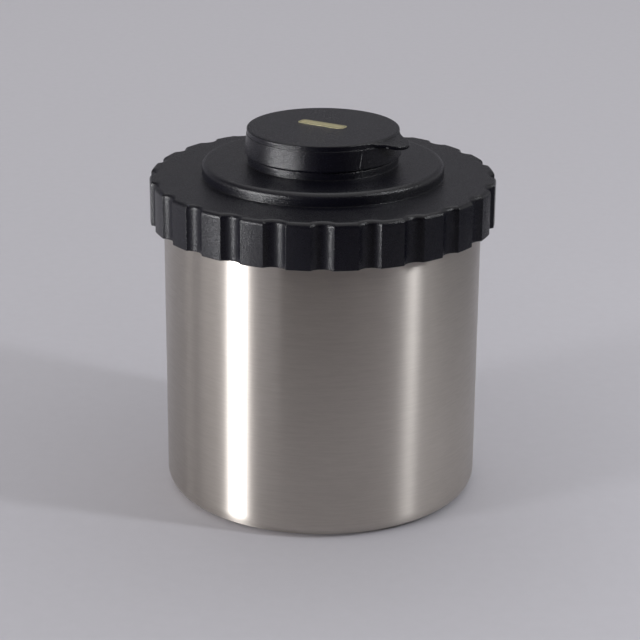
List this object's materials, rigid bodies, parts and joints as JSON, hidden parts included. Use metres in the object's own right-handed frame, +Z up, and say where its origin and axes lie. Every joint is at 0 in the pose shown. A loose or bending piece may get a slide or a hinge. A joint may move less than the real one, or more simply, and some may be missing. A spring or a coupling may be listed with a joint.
{
  "type": "film developing canister",
  "caption": "Steel daylight tank with a push-on black lid, light baffle, pouring neck and cap, holding two stacked wire reels for roll film.",
  "frame": {"origin": "centre of the base, on the surface that the canister stands on", "axes": "+Z up along the can's axis; -Y towards the viewer of the picture; +X to the viewer's right"},
  "size_m": [0.0954, 0.0954, 0.1039],
  "materials": {
    "tank_steel": "brushed round the can, satin",
    "lid_plastic": "black, fine spark-eroded grain",
    "baffle_plastic": "black, as moulded",
    "cap_plastic": "black soft plastic, smooth satin",
    "reel_wire": "drawn wire, electropolished",
    "clip_wire": "spring wire, bright",
    "label_plate": "pale gold foil, bare"
  },
  "bodies": {
    "tank": {"tank": "tank_steel"},
    "lid": {"lid": "lid_plastic", "light_baffle": "baffle_plastic"},
    "cap": {"cap": "cap_plastic"},
    "lower_reel": {"lower_reel_bottom_spiral": "reel_wire", "lower_reel_top_spiral": "reel_wire", "lower_reel_spoke_wire_1": "reel_wire", "lower_reel_spoke_wire_2": "reel_wire", "lower_reel_spoke_wire_3": "reel_wire", "lower_reel_spoke_wire_4": "reel_wire", "lower_reel_bottom_core_ring": "reel_wire", "lower_reel_top_core_ring": "reel_wire"},
    "lower_film_clip": {"lower_reel_film_clip": "clip_wire"},
    "upper_reel": {"upper_reel_bottom_spiral": "reel_wire", "upper_reel_top_spiral": "reel_wire", "upper_reel_spoke_wire_1": "reel_wire", "upper_reel_spoke_wire_2": "reel_wire", "upper_reel_spoke_wire_3": "reel_wire", "upper_reel_spoke_wire_4": "reel_wire", "upper_reel_bottom_core_ring": "reel_wire", "upper_reel_top_core_ring": "reel_wire"},
    "upper_film_clip": {"upper_reel_film_clip": "clip_wire"}
  },
  "joints": [
    {"name": "lid_lift", "type": "slide", "parent": "tank", "child": "lid", "axis": [0, 0, 1], "range_m": [0, 0.13]},
    {"name": "cap_lift", "type": "slide", "parent": "lid", "child": "cap", "axis": [0, 0, 1], "range_m": [0, 0.03]},
    {"name": "lower_reel_lift", "type": "slide", "parent": "tank", "child": "lower_reel", "axis": [0, 0, 1], "range_m": [0, 0.0975]},
    {"name": "lower_clip_swing", "type": "hinge", "parent": "lower_reel", "child": "lower_film_clip", "pos_m": [0.00905, 0.00905, 0.0215], "axis": [0, 0, 1], "range_deg": [0, 20], "stiffness_Nm_per_rad": 0.01},
    {"name": "upper_reel_lift", "type": "slide", "parent": "tank", "child": "upper_reel", "axis": [0, 0, 1], "range_m": [0, 0.11375]},
    {"name": "upper_clip_swing", "type": "hinge", "parent": "upper_reel", "child": "upper_film_clip", "pos_m": [0.00905, 0.00905, 0.0615], "axis": [0, 0, 1], "range_deg": [0, 20], "stiffness_Nm_per_rad": 0.01}
  ],
  "couplings": [
    {"joint": "lower_reel_lift", "follows": "lid_lift", "ratio": 0.75},
    {"joint": "upper_reel_lift", "follows": "lid_lift", "ratio": 0.875}
  ]
}
